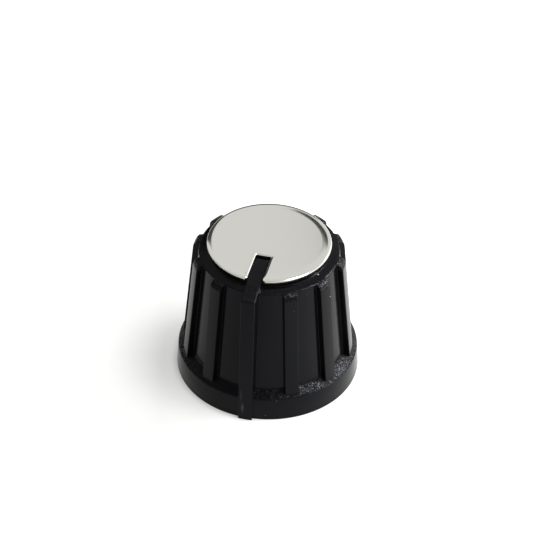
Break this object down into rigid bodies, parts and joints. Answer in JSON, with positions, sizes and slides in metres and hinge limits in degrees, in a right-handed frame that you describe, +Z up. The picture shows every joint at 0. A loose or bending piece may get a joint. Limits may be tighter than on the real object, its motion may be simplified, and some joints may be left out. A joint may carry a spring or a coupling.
{
  "type": "amplifier knob",
  "caption": "Fluted, skirted amplifier control knob with a raised pointer, a bright metal trim cap and a push-on socket with a leaf spring for a flatted spindle.",
  "frame": {"origin": "on the spindle axis, in the plane that the foot of the skirt stands on", "axes": "+Z up along the spindle axis, out through the cap; the pointer lies along -Y and the flat of the spindle faces +Y"},
  "size_m": [0.019, 0.0193, 0.0159],
  "materials": {
    "body": "black moulded plastic, fine spark-eroded texture",
    "cap": "polished bright",
    "film": "die-cut adhesive film",
    "spring": "tempered spring strip"
  },
  "bodies": {
    "root": {"knob_body": "body", "cap": "cap", "cap_film": "film", "shaft_spring": "spring"}
  },
  "joints": []
}
